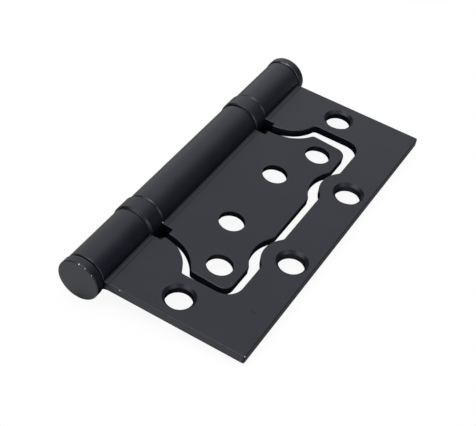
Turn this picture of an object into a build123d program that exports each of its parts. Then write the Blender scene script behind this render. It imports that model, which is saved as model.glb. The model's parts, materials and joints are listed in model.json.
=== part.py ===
"""Flush door hinge with two ball bearing collars, lying on its back with its leaves nested.

The pin lies along Y. +X runs from the pin to the free edge of the outer leaf and +Z is up, square to
the outer leaf. The origin is the middle of the underside of the whole hinge.
"""
from build123d import *
import math
import os

# Driving dimensions, in millimetres and degrees

# The pair of leaves
leaf_length = 100.0             # along the pin, without the end caps
leaf_thickness = 2.5
outer_reach = 45.65             # pin axis to the free edge of the outer leaf
leaf_drop = 0.4                 # middle of a leaf's thickness below the pin axis
rest_droop = 3.6                # the loose inner leaf hangs this far below the outer leaf
edge_radius = 0.25              # rounding of the blanked edges
outer_corner_radius = 0.5       # of the outer leaf's two free corners, in plan

# The barrel, whose knuckles are leaf rolled round the pin
end_knuckle_length = 20.45
knuckle_end_radius = 0.8        # rounding at a bearing collar
knuckle_cap_radius = 0.3        # rounding at an end cap
roll_tip_radius = 0.55          # rounding of the rolled end, where it comes down on the leaf
roll_bend_radius = 1.5          # inside of the bend under the leaf, where the roll starts
seam_width = 0.15               # open line between the rolled end and the leaf
press_line_offset = 1.8         # forming mark on the leaf, out from the seam
press_line_radius = 1.0
press_line_depth = 0.06

# The cut-out in the outer leaf and the outline of the inner leaf inside it
strip_width = 11.5              # of the outer leaf, between the cut-out and the free edge
end_bar_width = 13.85           # of the outer leaf, between the cut-out and each end
leaf_gap = 2.95                 # between the straight edges of the two leaves
flare_gap = 2.05                # between the curved edges of the two leaves
cut_out_corner_radius = 4.8
ear_corner_radius = 3.0
kink_radius = 1.2
slot_depth = 2.77               # of the slot beside a collar, out from the collar
slot_step = 2.0                 # of the inner leaf's edge, where the slot ends and the curve starts
slot_corner_radius = 0.35
flare_lead = 0.05               # the curved edges are arcs about a point this far past the slot
inner_flare_radius = 12.4
lobe_radius = 8.15              # rounded bosses of the outer leaf about its strip holes
lobe_gap = 2.65
lobe_foot_radius = 1.5

# Screw holes, each set by its distances from the nearest edges of its leaf
screw_hole_diameter = 7.1
countersink_step = 0.8          # width and depth of the countersunk cone
corner_hole_from_edge = 22.55
corner_hole_from_end = 6.9
strip_hole_from_edge = 5.85
strip_hole_from_ear = 17.1      # along the pin, from the side of the inner leaf's ear
ear_hole_from_edge = 6.3
ear_hole_from_side = 6.45
middle_hole_from_edge = 11.85
middle_hole_spacing = 23.3

# The pin and the two end caps
pin_diameter = 6.5
pin_chamfer = 0.4
press_clearance = 0.01          # radial, where a piece is pressed home
running_clearance = 0.05        # radial, where a piece turns
cap_overhang = 0.2              # radial, past the knuckle
cap_thickness = 2.65
cap_face_radius = 0.3           # rounding of the head's outer edge
cap_back_radius = 0.6           # rounding of the head's inner edge, next to the knuckle
cap_groove_depth = 0.8          # radial, of the groove between a cap and its knuckle
cap_groove_width = 0.3
cap_spigot_length = 8.0
pin_end_play = 0.2

# The ball bearings between the knuckles
collar_overhang = 0.35          # radial, past the knuckles
collar_wall = 0.55
collar_length = 5.1
collar_end_gap = 0.15           # at each end, between the collar and a knuckle
collar_edge_chamfer = 0.3
ball_count = 11
ball_track_clearance = 0.05
race_rim_clearance = 0.15       # radial, between the turning race and the collar
race_seat_depth = 0.2           # of a ball in each race
cage_face_clearance = 0.25      # between the cage and each race
cage_side_clearance = 0.15
cage_pocket_clearance = 0.05
cage_rim_width = 0.2            # radial, of the cage at each side of a pocket

# Derived sizes
half_length = leaf_length / 2
leaf_low = -leaf_drop - leaf_thickness / 2
leaf_high = -leaf_drop + leaf_thickness / 2
pin_radius = pin_diameter / 2
knuckle_radius = pin_radius + leaf_thickness
collar_radius = knuckle_radius + collar_overhang
cap_radius = knuckle_radius + cap_overhang
outer_start = half_length - end_knuckle_length
middle_end = outer_start - collar_length - 2 * collar_end_gap
cut_out_reach = outer_reach - strip_width
inner_reach = cut_out_reach - leaf_gap
cut_out_half_width = half_length - end_bar_width
ear_half_width = cut_out_half_width - leaf_gap
slot_reach = collar_radius + slot_depth
flare_centre_x = slot_reach + flare_lead
flare_centre_y = middle_end + slot_step + inner_flare_radius
outer_flare_radius = inner_flare_radius - flare_gap
notch_radius = lobe_radius + lobe_gap
corner_hole_place = (outer_reach - corner_hole_from_edge, half_length - corner_hole_from_end)
strip_hole_place = (outer_reach - strip_hole_from_edge, ear_half_width - strip_hole_from_ear)
ear_hole_place = (inner_reach - ear_hole_from_edge, ear_half_width - ear_hole_from_side)
middle_hole_place = (inner_reach - middle_hole_from_edge, middle_hole_spacing / 2)
screw_hole_radius = screw_hole_diameter / 2
roll_tip_z = leaf_high + seam_width + roll_tip_radius
roll_tip_x = math.sqrt((knuckle_radius - roll_tip_radius)**2 - roll_tip_z**2)
roll_bend_z = leaf_low - roll_bend_radius
roll_bend_x = math.sqrt((knuckle_radius + roll_bend_radius)**2 - roll_bend_z**2)
press_line_x = roll_tip_x + press_line_offset
fixed_bore_radius = pin_radius + press_clearance
turning_bore_radius = pin_radius + running_clearance
collar_bore_radius = collar_radius - collar_wall
ball_plane = (middle_end + outer_start) / 2
ball_circle_radius = (pin_radius + collar_bore_radius) / 2
ball_room = (collar_bore_radius - pin_radius) / 2
ball_radius = ball_room - cage_side_clearance - cage_rim_width - cage_pocket_clearance
race_face = ball_radius - race_seat_depth       # from the plane of the balls to the face of a race
cage_half = race_face - cage_face_clearance

# The pin axis in the frame of the finished hinge, whose origin is the middle of its underside
pin_x = -(outer_reach - collar_radius) / 2
pin_z = collar_radius


def rod(radius, low, high):
    """A round bar about the pin axis, from one place along the pin to another."""
    return Pos(0, (low + high) / 2, 0) * Rot(90, 0, 0) * Cylinder(radius, high - low)


def tube(outer_radius, inner_radius, low, high):
    """A round sleeve about the pin axis."""
    return rod(outer_radius, low, high) - rod(inner_radius, low, high)


def arc_about(centre, start, end):
    """The shorter arc between two points on a circle about a centre."""
    middle = (Vector(start) + Vector(end)) / 2 - Vector(centre)
    radius = (Vector(start) - Vector(centre)).length
    return ThreePointArc(start, Vector(centre) + middle.normalized() * radius, end)


def both_ends(place):
    """A place on the hinge and its mirror image at the other end."""
    x, y = place
    return [(x, -y), (x, y)]


def corners_at(outline, x, y):
    """The corners of an outline at a place and at its mirror image."""
    nearby = 0.01
    found = outline.vertices()
    return found.filter_by(lambda v: abs(v.X - x) < nearby and abs(abs(v.Y) - y) < nearby)


def flared_outline(root, tab_half_width, flare_radius, side, reach, bite_radius, corner_radius):
    """Outline with a narrow tab at the pin, a flare to straight sides and two bites in its far edge."""
    centre = (flare_centre_x, flare_centre_y)
    flare_foot = (slot_reach, flare_centre_y - math.sqrt(flare_radius**2 - flare_lead**2))
    kink_x = flare_centre_x + math.sqrt(flare_radius**2 - (flare_centre_y - side)**2)
    bite_x, bite_y = strip_hole_place
    bite_half_width = math.sqrt(bite_radius**2 - (bite_x - reach)**2)
    with BuildSketch() as outline:
        with BuildLine():
            Polyline((root, 0), (root, tab_half_width), (slot_reach, tab_half_width), flare_foot)
            arc_about(centre, flare_foot, (kink_x, side))
            Polyline((kink_x, side), (reach, side), (reach, 0))
            mirror(about=Plane.XZ)
        make_face()
        with Locations(*both_ends(strip_hole_place)):
            Circle(bite_radius, mode=Mode.SUBTRACT)
        fillet(corners_at(outline, reach, side), corner_radius)
        fillet(corners_at(outline, kink_x, side), kink_radius)
        fillet(corners_at(outline, slot_reach, tab_half_width), slot_corner_radius)
        fillet(corners_at(outline, *flare_foot), slot_corner_radius)
        for direction in (-1, 1):
            foot = bite_y + direction * bite_half_width
            fillet(corners_at(outline, reach, foot), lobe_foot_radius)
    return outline.sketch


def rounded_plate(outline):
    """A blanked leaf with its long edges eased."""
    plate = Pos(0, 0, leaf_low) * extrude(outline, leaf_thickness)
    faces = plate.faces().sort_by(Axis.Z)
    return fillet(faces[0].edges() + faces[-1].edges(), edge_radius)


def screw_hole(head_up):
    """A countersunk screw hole as a solid to cut away, its head on the top or on the underside."""
    through = Pos(0, 0, (leaf_low + leaf_high) / 2) * Cylinder(screw_hole_radius, 2 * leaf_thickness)
    cone = Cone(screw_hole_radius, screw_hole_radius + countersink_step, countersink_step)
    if head_up:
        return through + Pos(0, 0, leaf_high - countersink_step / 2) * cone
    return through + Pos(0, 0, leaf_low + countersink_step / 2) * Rot(180, 0, 0) * cone


def rim_at(turned, y):
    """The round edges of a turned piece at one place along the pin."""
    nearby = 0.01
    circles = turned.edges().filter_by(GeomType.CIRCLE)
    return circles.filter_by_position(Axis.Y, y - nearby, y + nearby)


def knuckle(low, high):
    """The outside of one rolled knuckle, well rounded at a collar and eased at a cap."""
    barrel = rod(knuckle_radius, low, high)
    for end in (low, high):
        radius = knuckle_cap_radius if abs(end) == half_length else knuckle_end_radius
        barrel = fillet(rim_at(barrel, end), radius)
    return barrel


def along_pin(outline, low, high):
    """A flat outline, drawn across the pin, drawn out from one place along the pin to another."""
    return Pos(0, high, 0) * extrude(outline, high - low)


def roll_bend(low, high):
    """The inside of the bend under the leaf, where the sheet turns down into the roll."""
    share = knuckle_radius / (knuckle_radius + roll_bend_radius)
    on_leaf = (roll_bend_x, leaf_low)
    on_barrel = (share * roll_bend_x, share * roll_bend_z)
    with BuildSketch(Plane.XZ) as web:
        with BuildLine():
            arc_about((roll_bend_x, roll_bend_z), on_leaf, on_barrel)
            Polyline(on_barrel, (on_barrel[0], leaf_low), on_leaf)
        make_face()
    return along_pin(web.sketch, low, high)


def roll_tip_cut(low, high):
    """What lies between the leaf and the rounded end of the roll, as a solid to cut away."""
    share = knuckle_radius / (knuckle_radius - roll_tip_radius)
    under_tip = (roll_tip_x, roll_tip_z - roll_tip_radius)
    on_barrel = (share * roll_tip_x, share * roll_tip_z)
    outside = knuckle_radius + roll_tip_radius
    with BuildSketch(Plane.XZ) as wedge:
        with BuildLine():
            arc_about((roll_tip_x, roll_tip_z), under_tip, on_barrel)
            Polyline(on_barrel, (outside, on_barrel[1]), (outside, leaf_high), (0, leaf_high),
                     (0, under_tip[1]), under_tip)
        make_face()
    return along_pin(wedge.sketch, low, high)


def rolled_leaf(leaf, bore_radius, low, high):
    """The leaf with one knuckle rolled on it: bore, seam, bend and the forming mark beside the seam."""
    mark_height = leaf_high + press_line_radius - press_line_depth
    mark = Pos(press_line_x, 0, mark_height) * rod(press_line_radius, low, high)
    solid = leaf + knuckle(low, high) + roll_bend(low, high)
    return solid - rod(bore_radius, low, high) - roll_tip_cut(low, high) - mark


def make_outer_leaf():
    """The frame leaf: a rectangle with a cut-out, rolled into a knuckle at each end."""
    cut_out = flared_outline(-edge_radius, outer_start, outer_flare_radius, cut_out_half_width, cut_out_reach,
                             lobe_radius, cut_out_corner_radius)
    blank = Pos(outer_reach / 2, 0) * Rectangle(outer_reach, leaf_length)
    blank = fillet(corners_at(blank, outer_reach, half_length), outer_corner_radius)
    leaf = rounded_plate(blank - cut_out)
    for low, high in ((-half_length, -outer_start), (outer_start, half_length)):
        leaf = rolled_leaf(leaf, fixed_bore_radius, low, high)
    for x, y in both_ends(corner_hole_place) + both_ends(strip_hole_place):
        leaf -= Pos(x, y, 0) * screw_hole(head_up=True)
    return leaf


def make_inner_leaf():
    """The door leaf: it nests in the cut-out, rolled into the long middle knuckle."""
    outline = flared_outline(0, middle_end, inner_flare_radius, ear_half_width, inner_reach,
                             notch_radius, ear_corner_radius)
    leaf = rolled_leaf(rounded_plate(outline), turning_bore_radius, -middle_end, middle_end)
    for x, y in both_ends(ear_hole_place) + both_ends(middle_hole_place):
        leaf -= Pos(x, y, 0) * screw_hole(head_up=False)
    return Rot(0, rest_droop, 0) * leaf


def make_pin():
    """The plain steel pin between the spigots of the two caps."""
    pin_end = half_length - cap_spigot_length - pin_end_play
    pin = rod(pin_radius, -pin_end, pin_end)
    return chamfer(pin.edges().filter_by(GeomType.CIRCLE), pin_chamfer)


def make_end_cap():
    """The far end cap: a flat disc, a narrower shoulder on the knuckle and a spigot in its bore."""
    seat = half_length + cap_groove_width
    disc = rod(cap_radius, seat, seat + cap_thickness)
    disc = fillet(rim_at(disc, seat), cap_back_radius)
    disc = fillet(rim_at(disc, seat + cap_thickness), cap_face_radius)
    shoulder = rod(knuckle_radius - cap_groove_depth, half_length, seat)
    spigot = rod(pin_radius, half_length - cap_spigot_length, half_length)
    return disc + shoulder + spigot


def make_collar():
    """The far bearing's outer shell, which shows between the knuckles."""
    low = middle_end + collar_end_gap
    shell = rod(collar_radius, low, low + collar_length)
    shell = chamfer(shell.edges().filter_by(GeomType.CIRCLE), collar_edge_chamfer)
    return shell - rod(collar_bore_radius, low, low + collar_length)


def ball_track():
    """The groove that the far bearing's balls run in, as a ring to cut away."""
    ring = Torus(ball_circle_radius, ball_radius + ball_track_clearance)
    return Pos(0, ball_plane, 0) * Rot(90, 0, 0) * ring


def make_fixed_race():
    """The far bearing's race on the outer leaf's knuckle, pressed into the collar."""
    rim = collar_bore_radius - press_clearance
    return tube(rim, fixed_bore_radius, ball_plane + race_face, outer_start) - ball_track()


def make_turning_race():
    """The far bearing's race on the inner leaf's knuckle, which turns inside the collar."""
    rim = collar_bore_radius - race_rim_clearance
    return tube(rim, turning_bore_radius, middle_end, ball_plane - race_face) - ball_track()


def ball_places():
    """Where the far bearing's balls sit, evenly round the pin."""
    for index in range(ball_count):
        angle = 2 * math.pi * index / ball_count
        yield Pos(ball_circle_radius * math.cos(angle), ball_plane, ball_circle_radius * math.sin(angle))


def make_cage():
    """The far bearing's flat ring that keeps the balls apart."""
    cage = tube(collar_bore_radius - cage_side_clearance, pin_radius + cage_side_clearance,
                ball_plane - cage_half, ball_plane + cage_half)
    pocket = Rot(90, 0, 0) * Cylinder(ball_radius + cage_pocket_clearance, 4 * cage_half)
    for place in ball_places():
        cage -= place * pocket
    return cage


pieces = {
    "outer_leaf": make_outer_leaf(),
    "inner_leaf": make_inner_leaf(),
    "hinge_pin": make_pin(),
}
end_pieces = {
    "end_cap": make_end_cap(),
    "bearing_collar": make_collar(),
    "bearing_fixed_race": make_fixed_race(),
    "bearing_turning_race": make_turning_race(),
    "bearing_cage": make_cage(),
}
for number, place in enumerate(ball_places(), start=1):
    end_pieces[f"bearing_ball_{number:02d}"] = place * Sphere(ball_radius)
for name, piece in end_pieces.items():
    pieces["far_" + name] = piece
    pieces["near_" + name] = Rot(0, 0, 180) * piece

os.makedirs("parts", exist_ok=True)
for name, piece in pieces.items():
    export_step(Pos(pin_x, 0, pin_z) * piece, f"parts/{name}.step")
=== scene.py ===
import json
import math

import bpy
from mathutils import Matrix, Vector


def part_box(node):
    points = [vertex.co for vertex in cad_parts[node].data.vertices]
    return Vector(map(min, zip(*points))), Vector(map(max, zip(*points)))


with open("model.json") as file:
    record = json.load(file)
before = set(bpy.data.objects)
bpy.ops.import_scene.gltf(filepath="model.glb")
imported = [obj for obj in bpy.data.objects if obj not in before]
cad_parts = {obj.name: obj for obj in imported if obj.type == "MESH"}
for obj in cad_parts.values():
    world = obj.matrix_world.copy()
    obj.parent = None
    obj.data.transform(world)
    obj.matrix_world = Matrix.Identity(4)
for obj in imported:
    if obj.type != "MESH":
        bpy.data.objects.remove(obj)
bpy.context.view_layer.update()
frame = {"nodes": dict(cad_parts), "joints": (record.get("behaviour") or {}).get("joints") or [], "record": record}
cad_nodes = frame["nodes"]
pin_axis = Vector(frame["joints"][0]["pos_m"])
mm = 0.001


# Outer leaf: the plate that is screwed to the frame, pressed from 2.5 mm steel sheet with both
# ends of one long side rolled into knuckles. It is countersunk for four screws and dipped in a
# satin black coating, which is baked on and thins out at the sharp edges.
class Wire:
    """A socket of a material, so that shader maths is written as sums and products."""

    def __init__(self, socket):
        self.socket = socket

    def node(self, kind, settings, sockets, output=0):
        """Adds one node: its settings first, then the values or links of its sockets."""
        tree = self.socket.id_data
        made = tree.nodes.new(kind)
        for name, value in settings.items():
            setattr(made, name, value)
        for name, value in sockets.items():
            if isinstance(value, Wire):
                tree.links.new(value.socket, made.inputs[name])
            else:
                made.inputs[name].default_value = value
        return Wire(made.outputs[output]) if made.outputs else None

    def maths(self, operation, first, second=0.0):
        """One Math node on two numbers or wires."""
        return self.node("ShaderNodeMath", {"operation": operation}, {0: first, 1: second})

    def vectors(self, operation, first, second, output=0):
        """One Vector Math node. Its output is a vector, or a number where that is "Value"."""
        settings = {"operation": operation}
        return self.node("ShaderNodeVectorMath", settings, {0: first, 1: second}, output)

    def __add__(self, other):
        return self.maths("ADD", self, other)

    __radd__ = __add__

    def __sub__(self, other):
        return self.maths("SUBTRACT", self, other)

    def __rsub__(self, other):
        return self.maths("SUBTRACT", other, self)

    def __mul__(self, other):
        return self.maths("MULTIPLY", self, other)

    __rmul__ = __mul__

    def ramp(self, start, end):
        """0 up to start and 1 from end on, with a soft step between them."""
        settings = {"interpolation_type": "SMOOTHSTEP"}
        return self.node("ShaderNodeMapRange", settings, {"Value": self, 1: start, 2: end})

    def tint(self, first, second):
        """The first colour where this mask is 0, and the second where it is 1."""
        settings = {"data_type": "RGBA"}
        return self.node("ShaderNodeMix", settings, {0: self, 6: first, 7: second}, output=2)

    def noise(self, size, detail=2.0):
        """Cloudy noise from 0 to 1 with lumps of this size, at this place."""
        sockets = {"Vector": self, "Scale": 1 / size, "Detail": detail}
        return self.node("ShaderNodeTexNoise", {}, sockets)


def new_material(name):
    """A material with its shader, and the place on the piece in metres as a wire."""
    material = bpy.data.materials.new(name)
    material.use_nodes = True
    shader = material.node_tree.nodes["Principled BSDF"]
    coordinates = material.node_tree.nodes.new("ShaderNodeTexCoord")
    return material, shader, Wire(coordinates.outputs["Object"])


def feed(shader, **links):
    """Links wires to the shader's sockets, whose spaces are written as underscores."""
    for name, wire in links.items():
        wire.socket.id_data.links.new(wire.socket, shader.inputs[name.replace("_", " ")])


def apart(place, centre):
    """How far this place is from the centre."""
    return place.vectors("DISTANCE", place, centre, output="Value")


def sharp_edges(place, reach):
    """1 on the sharp edges of a piece, fading to 0 within this reach of them."""
    flat = place.node("ShaderNodeNewGeometry", {}, {}, output="Normal")
    rounded = place.node("ShaderNodeBevel", {"samples": 6}, {"Radius": reach})
    alike = place.vectors("DOT_PRODUCT", flat, rounded, output="Value")
    return (1 - alike).ramp(0.03, 0.3)


def black_coating(name, chips_and_glints=(), scuffs=(), rings=None, chip_and_glint_colour=(0.62, 0.63, 0.65, 1)):
    """Satin black coating on steel. Chips go through it, scuffs dull it, and the rings that a cutter left in the
    steel, as a height from 0 to 1, show under it. The same round marks also paint a highlight, a glint, in a
    colour of its own."""
    black = (0.0030, 0.0037, 0.0078, 1)
    black_thin = (0.0046, 0.0054, 0.0100, 1)
    black_rubbed = (0.016, 0.017, 0.020, 1)
    material, shader, place = new_material(name)
    clouds = place.noise(9 * mm, detail=3.0)
    peel = place.noise(0.7 * mm)
    grain = place.noise(0.12 * mm)
    ragged = place.noise(0.3 * mm, detail=3.0)
    patchy = place.noise(3 * mm, detail=4.0).ramp(0.45, 0.7)
    rubbed = sharp_edges(place, 0.3 * mm) * patchy
    colour = clouds.ramp(0.3, 0.75).tint(black, black_thin)
    colour = rubbed.tint(colour, black_rubbed)
    roughness = 0.30 + 0.09 * clouds + 0.05 * grain - 0.06 * rubbed
    for centre, radius in scuffs:
        scuff = 1 - apart(place, centre).ramp(0.4 * radius, radius)
        roughness = roughness + 0.35 * scuff * ragged.ramp(0.35, 0.6)
    # Round marks in their own colour: chips in the coating, and on the far cap a painted highlight.
    for centre, radius in chips_and_glints:
        chip_and_glint = 1 - (apart(place, centre) * (1 / radius) + 0.8 * ragged).ramp(0.9, 1.2)
        colour = chip_and_glint.tint(colour, chip_and_glint_colour)
    height = 0.7 * peel + 0.3 * grain
    if rings:
        height = height + rings(place)
    bump = {"Strength": 0.12, "Distance": 0.05 * mm, "Height": height}
    relief = place.node("ShaderNodeBump", {}, bump)
    feed(shader, Base_Color=colour, Roughness=roughness, Normal=relief)
    shader.inputs["Specular Tint"].default_value = (0.90, 0.93, 1.0, 1)
    return material


def cutter_rings(place, middles, outer_radius, pitch):
    """The rings that a turning cutter leaves round the nearest of these middles, as a height."""
    nearest = apart(place, middles[0])
    for middle in middles[1:]:
        nearest = place.maths("MINIMUM", nearest, apart(place, middle))
    wave = place.maths("SINE", nearest * (2 * math.pi / pitch))
    return 0.8 * wave * (1 - nearest.ramp(outer_radius, 1.05 * outer_radius))


def screw_hole_middles(leaf_holes):
    """The middles of these screw holes seen from above, from the boxes that the frame keeps clear."""
    middles = []
    for opening in frame["record"]["physics"]["openings"]:
        low, high = opening["box_m"]
        if opening["name"].split("_")[1] in leaf_holes:
            middles.append(((low[0] + high[0]) / 2, (low[1] + high[1]) / 2, 0))
    return middles


def countersink_rings(leaf_holes):
    """Cutter rings in the countersinks of these screw holes."""
    countersink_radius = 4.4 * mm
    ring_pitch = 0.2 * mm

    def rings(place):
        seen_from_above = place.vectors("MULTIPLY", place, (1, 1, 0))
        middles = screw_hole_middles(leaf_holes)
        return cutter_rings(seen_from_above, middles, countersink_radius, ring_pitch)
    return rings


def dress(node, material):
    """Gives a piece of the frame its finish."""
    cad_nodes[node].material_slots[0].material = material


outer_low, outer_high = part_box("outer_leaf")
near_end = outer_low.y
free_edge = outer_high.x
leaf_rise = 0.85 * mm
leaf_top = pin_axis.z + leaf_rise
end_face = Vector((pin_axis.x + 10.3 * mm, near_end, leaf_top - 0.2 * mm))
end_edge = Vector((pin_axis.x + 10.7 * mm, near_end, leaf_top))
free_corner = Vector((free_edge - 0.1 * mm, near_end + 0.3 * mm, leaf_top))
outer_chips = [(end_face, 0.21 * mm), (end_edge, 0.20 * mm), (free_corner, 0.26 * mm)]
# Each scuff: in from the free edge, along from the near end, and its radius, in millimetres
scuff_marks = [
    (6.0, 13.7, 0.7),
    (5.4, 13.4, 0.8),
    (4.9, 13.1, 0.6),
    (6.3, 7.7, 0.4),
    (5.6, 8.2, 0.4),
    (4.9, 8.7, 0.4),
]
outer_scuffs = [
    (Vector((free_edge - inward * mm, near_end + onward * mm, leaf_top)), radius * mm)
    for inward, onward, radius in scuff_marks
]
outer_rings = countersink_rings(("corner", "strip"))
dress("outer_leaf", black_coating("outer_leaf_black", outer_chips, outer_scuffs, outer_rings))


# Inner leaf: the plate that is screwed to the door, pressed from the same sheet so that it
# nests inside the outer leaf's cut-out. Its middle is rolled into the long knuckle, it has four
# countersunk holes like the other, and the same coating.
near_ear = Vector((pin_axis.x + 30.4 * mm, -30.1 * mm, 5.05 * mm))
near_knuckle_corner = Vector((pin_axis.x + 5.6 * mm, -24.0 * mm, 6.5 * mm))
# Light grey specks: a chip on the near ear, and a bright speck at the knuckle's corner beside the slot.
inner_specks = [(near_ear, 0.09 * mm), (near_knuckle_corner, 0.38 * mm)]
inner_rings = countersink_rings(("ear", "middle"))
dress("inner_leaf", black_coating("inner_leaf_black", inner_specks, (), inner_rings))


# End caps: turned steel plugs with a thin flat head, pressed into both ends of the barrel.
# They are coated with the leaves, and their sharp rims are the first to chip.
def face_rings(place):
    """Turning rings round the pin, on the flat head of a cap."""
    face_radius = 5.5 * mm
    ring_pitch = 0.35 * mm
    seen_from_end = place.vectors("MULTIPLY", place, (1, 0, 1))
    middle = (pin_axis.x, 0, pin_axis.z)
    return 0.4 * cutter_rings(seen_from_end, [middle], face_radius, ring_pitch)


near_cap_low, near_cap_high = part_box("near_end_cap")
_, far_cap_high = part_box("far_end_cap")
head_radius = (near_cap_high.z - near_cap_low.z) / 2


def rim_chips_and_glints(along_pin, inset, marks):
    """Round marks on the rim of a cap's head, each by its angle round the pin and its radius: chips on the near
    cap, a painted highlight on the far cap.
    """
    chips_and_glints = []
    for angle, chip_and_glint_radius in marks:
        turned = math.radians(angle)
        out = Vector((math.cos(turned), 0, math.sin(turned))) * (head_radius - inset)
        chips_and_glints.append((Vector((pin_axis.x, along_pin, pin_axis.z)) + out, chip_and_glint_radius))
    return chips_and_glints


# The near cap is chipped on its outer rim. On the far cap's inner rim, grey spots are a painted highlight: a glint
# on the rounded rim.
outer_rim_inset = 0.1 * mm
near_marks = [(88, 0.30 * mm), (70, 0.14 * mm), (47, 0.13 * mm)]
near_chips = rim_chips_and_glints(near_cap_low.y + outer_rim_inset, outer_rim_inset, near_marks)
dress("near_end_cap", black_coating("near_cap_black", near_chips, (), face_rings))
face_to_inner_rim = 2.47 * mm
inner_rim_inset = 0.18 * mm
# Painted highlight: a soft grey glint is drawn along the far cap's inner rim where its rounding catches the light.
painted_glint_grey = (0.10, 0.10, 0.11, 1)
far_glint_marks = [(101, 0.42 * mm), (95, 0.36 * mm), (89, 0.40 * mm), (84, 0.46 * mm), (78, 0.32 * mm)]
far_painted_glints = rim_chips_and_glints(far_cap_high.y - face_to_inner_rim, inner_rim_inset, far_glint_marks)
dress("far_end_cap", black_coating("far_cap_black", far_painted_glints, (), face_rings, painted_glint_grey))


# Bearing collars: short steel sleeves with bevelled ends, which close the joints between the
# knuckles and hide the ball bearings. They are coated with the leaves.
collar_black = black_coating("collar_black")
for end in ("near", "far"):
    dress(f"{end}_bearing_collar", collar_black)


# Hinge pin: a drawn steel rod, pressed into the end knuckles, with fine lines along its length
# from the drawing die.
def bright_steel(name, stretch):
    """Bright steel with fine tool lines, which run along the directions that stretch is small in."""
    steel_dark = (0.40, 0.40, 0.41, 1)
    steel_light = (0.60, 0.60, 0.62, 1)
    material, shader, place = new_material(name)
    lines = place.vectors("MULTIPLY", place, stretch).noise(0.1 * mm, detail=3.0)
    clouds = place.noise(2 * mm)
    bump = {"Strength": 0.1, "Distance": 0.02 * mm, "Height": lines}
    relief = place.node("ShaderNodeBump", {}, bump)
    feed(shader, Base_Color=(0.6 * lines + 0.4 * clouds).tint(steel_dark, steel_light))
    feed(shader, Roughness=0.22 + 0.2 * lines, Normal=relief)
    shader.inputs["Metallic"].default_value = 1.0
    return material


dress("hinge_pin", bright_steel("drawn_steel", (1.0, 0.02, 1.0)))


# Ball bearings: in each collar two grooved races of hardened steel, with eleven balls between
# them that a stamped brass cage keeps apart. They carry the weight of the door.
race_steel = bright_steel("ground_steel", (1.0, 1.0, 1.0))
ball_steel = bright_steel("polished_steel", (0.2, 0.2, 0.2))
cage_brass, brass_shader, brass_place = new_material("stamped_brass")
brass_fresh = (0.72, 0.50, 0.20, 1)
brass_dull = (0.42, 0.27, 0.10, 1)
brass_clouds = brass_place.noise(1.5 * mm, detail=4.0)
feed(brass_shader, Base_Color=brass_clouds.ramp(0.35, 0.7).tint(brass_fresh, brass_dull))
feed(brass_shader, Roughness=0.3 + 0.25 * brass_clouds)
brass_shader.inputs["Metallic"].default_value = 1.0
for end in ("near", "far"):
    dress(f"{end}_bearing_fixed_race", race_steel)
    dress(f"{end}_bearing_turning_race", race_steel)
    dress(f"{end}_bearing_cage", cage_brass)
    for node in cad_nodes:
        if node.startswith(f"{end}_bearing_ball_"):
            dress(node, ball_steel)


# Floor: a white table top, which isn't part of the hinge. The hinge rests on its two collars and
# on the free edge of the inner leaf, so the table leans a little against the plane of the leaves.
collar_low, collar_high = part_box("near_bearing_collar")
collar_radius = (collar_high.z - collar_low.z) / 2


def along(place, direction):
    """How far this place is along a direction."""
    return place.vectors("DOT_PRODUCT", place, direction, output="Value")


def slope_under(point):
    """The slope of a table top that touches the collars and this point."""
    across = point.x - pin_axis.x
    below = pin_axis.z - point.z
    return math.asin(collar_radius / math.hypot(across, below)) - math.atan2(below, across)


slopes = [
    slope_under(vertex.co)
    for leaf in ("outer_leaf", "inner_leaf")
    for vertex in cad_nodes[leaf].data.vertices
    if vertex.co.x - pin_axis.x > 2 * collar_radius
]
slope = min(slopes)
table_half_width = 3000 * mm
table_corners = [Vector((x, y, 0)) * table_half_width for x, y in ((-1, -1), (1, -1), (1, 1), (-1, 1))]
table_mesh = bpy.data.meshes.new("table_top")
table_mesh.from_pydata(table_corners, [], [(0, 1, 2, 3)])
table = bpy.data.objects.new("table_top", table_mesh)
bpy.context.scene.collection.objects.link(table)
lean = Matrix.Rotation(-slope, 4, "Y")
table.matrix_world = Matrix.Translation(pin_axis - lean @ Vector((0, 0, collar_radius))) @ lean

table_white = bpy.data.materials.new("table_white")
table_white.use_nodes = True
table_white.node_tree.nodes.clear()
rays = table_white.node_tree.nodes.new("ShaderNodeLightPath")
shown = Wire(rays.outputs["Is Camera Ray"])
mirrored = Wire(rays.outputs["Is Glossy Ray"]) + Wire(rays.outputs["Is Transmission Ray"])
matt_grey = (0.35, 0.35, 0.35, 1)
matt = shown.node("ShaderNodeBsdfDiffuse", {}, {"Color": matt_grey})
shade_reach = {"Distance": 20 * mm}
open_sky = shown.node("ShaderNodeAmbientOcclusion", {"samples": 24}, shade_reach, output="AO")
table_place = shown.node("ShaderNodeNewGeometry", {}, {}, output="Position")
rightward = along(table_place, (1, 0, 0))
backward = along(table_place, (0, 1, 0))

# What the camera sees: glowing white with a faint painted shadow from occlusion, and black painted shade on the
# table under the barrel, in the slots beside the collars
slot_middle = pin_axis.x + 6.5 * mm
from_slots = shown.maths("ABSOLUTE", rightward - slot_middle)
from_middle = shown.maths("ABSOLUTE", backward)
by_barrel = (1 - from_slots.ramp(3.5 * mm, 6.5 * mm)) * (1 - from_middle.ramp(38 * mm, 44 * mm))
deep_shade = by_barrel * (1 - open_sky.ramp(0.13, 0.32))
seen = (0.93 + 0.07 * open_sky.ramp(0.2, 0.9)) * (1 - deep_shade)

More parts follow.
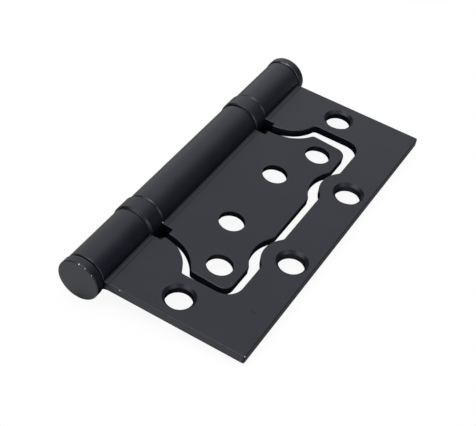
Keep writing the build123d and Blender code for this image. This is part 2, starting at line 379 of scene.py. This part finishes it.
# What the hinge mirrors: a painted reflection of the table, grey, with painted light in front of the leaves and to
# the left of the barrel, and painted shade under the hinge
past_leaf = rightward.ramp(24 * mm, 28 * mm)
lit_front = along(table_place, (0.8, -0.6, 0)).ramp(-25 * mm, 10 * mm) * (1 - past_leaf)
leftward = along(table_place, (-1, 0, 0))
lit_left = leftward.ramp(35 * mm, 60 * mm) * (1 - 0.6 * backward.ramp(0, 80 * mm))
lit = 0.25 + 0.65 * lit_front + 0.28 * lit_left
level = shown * seen + mirrored * lit * open_sky.ramp(0.4, 0.75)
glow = shown.node("ShaderNodeEmission", {}, {"Color": level})
both = shown.node("ShaderNodeMixShader", {}, {0: shown + mirrored, 1: matt, 2: glow})
shown.node("ShaderNodeOutputMaterial", {}, {"Surface": both})
table_mesh.materials.append(table_white)


# Light: a white cloth tent round the table, lit from behind and to the left, with four lamps
# showing through it and two unlit panels. The camera sees only its white.
world = bpy.data.worlds.new("white_tent")
bpy.context.scene.world = world
world.use_nodes = True
world.node_tree.nodes.clear()
rays = world.node_tree.nodes.new("ShaderNodeLightPath")
shown = Wire(rays.outputs["Is Camera Ray"])
sky = world.node_tree.nodes.new("ShaderNodeTexCoord")
gaze = Wire(sky.outputs["Generated"])


def towards(direction):
    """1 where the tent lies in this direction, falling to 0 at right angles to it."""
    return along(gaze, Vector(direction).normalized())


lit_side = towards((-0.60, 0.60, 0.53))
tent = 0.03 + 0.42 * lit_side.ramp(-0.05, 0.8) + 0.46 * lit_side.ramp(0.5, 0.95)

# Each lamp and panel: its direction, its strength, and the cosines at its edge and where it is full
lamps = [
    ((0.80, -0.50, 0.33), 2.2, 0.72, 1.0),
    ((-0.30, -0.62, 0.73), 2.1, 0.82, 1.0),
    ((-0.15, -0.10, 0.98), 1.2, 0.85, 1.0),
    ((0.05, -0.05, 1.0), 8.0, 0.955, 0.995),
]
dark_panels = [
    ((0.42, -0.55, 0.72), 0.97, 0.90, 0.975),
    ((-0.93, -0.10, 0.30), 0.90, 0.80, 0.95),
]
for direction, strength, edge, full in lamps:
    tent = tent + strength * towards(direction).ramp(edge, full)
for direction, strength, edge, full in dark_panels:
    tent = tent * (1 - strength * towards(direction).ramp(edge, full))
backdrop = shown.node("ShaderNodeBackground", {}, {"Color": shown + (1 - shown) * tent})
shown.node("ShaderNodeOutputWorld", {}, {"Surface": backdrop})


# Camera: stands in front of the hinge and to the right, and looks down on the near end of the
# barrel through a long lens, a little rolled.
camera_data = bpy.data.cameras.new("photo_camera")
camera_data.sensor_width = 36.0
camera_data.lens = 85.55
camera = bpy.data.objects.new("photo_camera", camera_data)
bpy.context.scene.collection.objects.link(camera)
bpy.context.scene.camera = camera
camera_place = Vector((0.088781, -0.206048, 0.211461))
azimuth = math.radians(24.316)
elevation = math.radians(43.430)
roll = math.radians(9.20)
back = Vector((
    math.sin(azimuth) * math.cos(elevation),
    -math.cos(azimuth) * math.cos(elevation),
    math.sin(elevation),
))
facing = back.to_track_quat("Z", "Y").to_matrix().to_4x4() @ Matrix.Rotation(roll, 4, "Z")
camera.matrix_world = Matrix.Translation(camera_place) @ facing
bpy.context.scene.view_settings.view_transform = "Standard"
